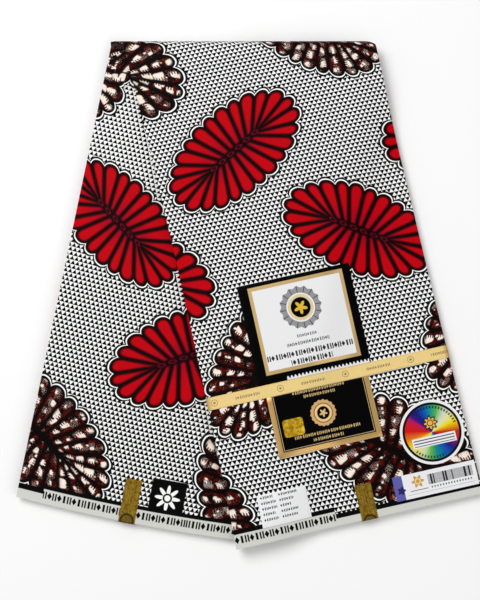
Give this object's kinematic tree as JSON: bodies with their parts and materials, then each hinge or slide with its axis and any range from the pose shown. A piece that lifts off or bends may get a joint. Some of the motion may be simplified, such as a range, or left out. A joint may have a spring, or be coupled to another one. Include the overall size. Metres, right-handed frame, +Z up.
{
  "type": "african wax print fabric",
  "caption": "full piece of African wax print cotton, pleated into a strip and folded over on a slant so that its legs spread, with ribbon, cards, stickers and foil seals, lying flat",
  "frame": {"origin": "middle of the footprint, on the surface that the folded cloth lies on", "axes": "+Z up; +Y towards the fold, away from the hems; +X to the right as seen from above with the fold at the top, so the front leg spreads towards +X and the back leg towards -X"},
  "size_m": [0.556, 0.614, 0.0248],
  "materials": {
    "print": "calendered wax print cotton, red and brown flowers on a white ground of small black triangles",
    "hems": "folds and hems of many thin cotton layers",
    "ribbon": "pale gold satin ribbon",
    "card": "black coated card printed in gold",
    "sticker": "white printed sticker paper",
    "seal": "olive gold foil"
  },
  "bodies": {
    "root": {"outer_layer": "print", "inner_layers": "hems", "back_top_layer": "print", "ribbon": "ribbon", "upper_card": "card", "lower_card": "card", "info_sticker": "sticker", "bar_sticker": "sticker", "round_sticker": "sticker", "front_seal": "seal", "back_seal": "seal"}
  },
  "joints": []
}
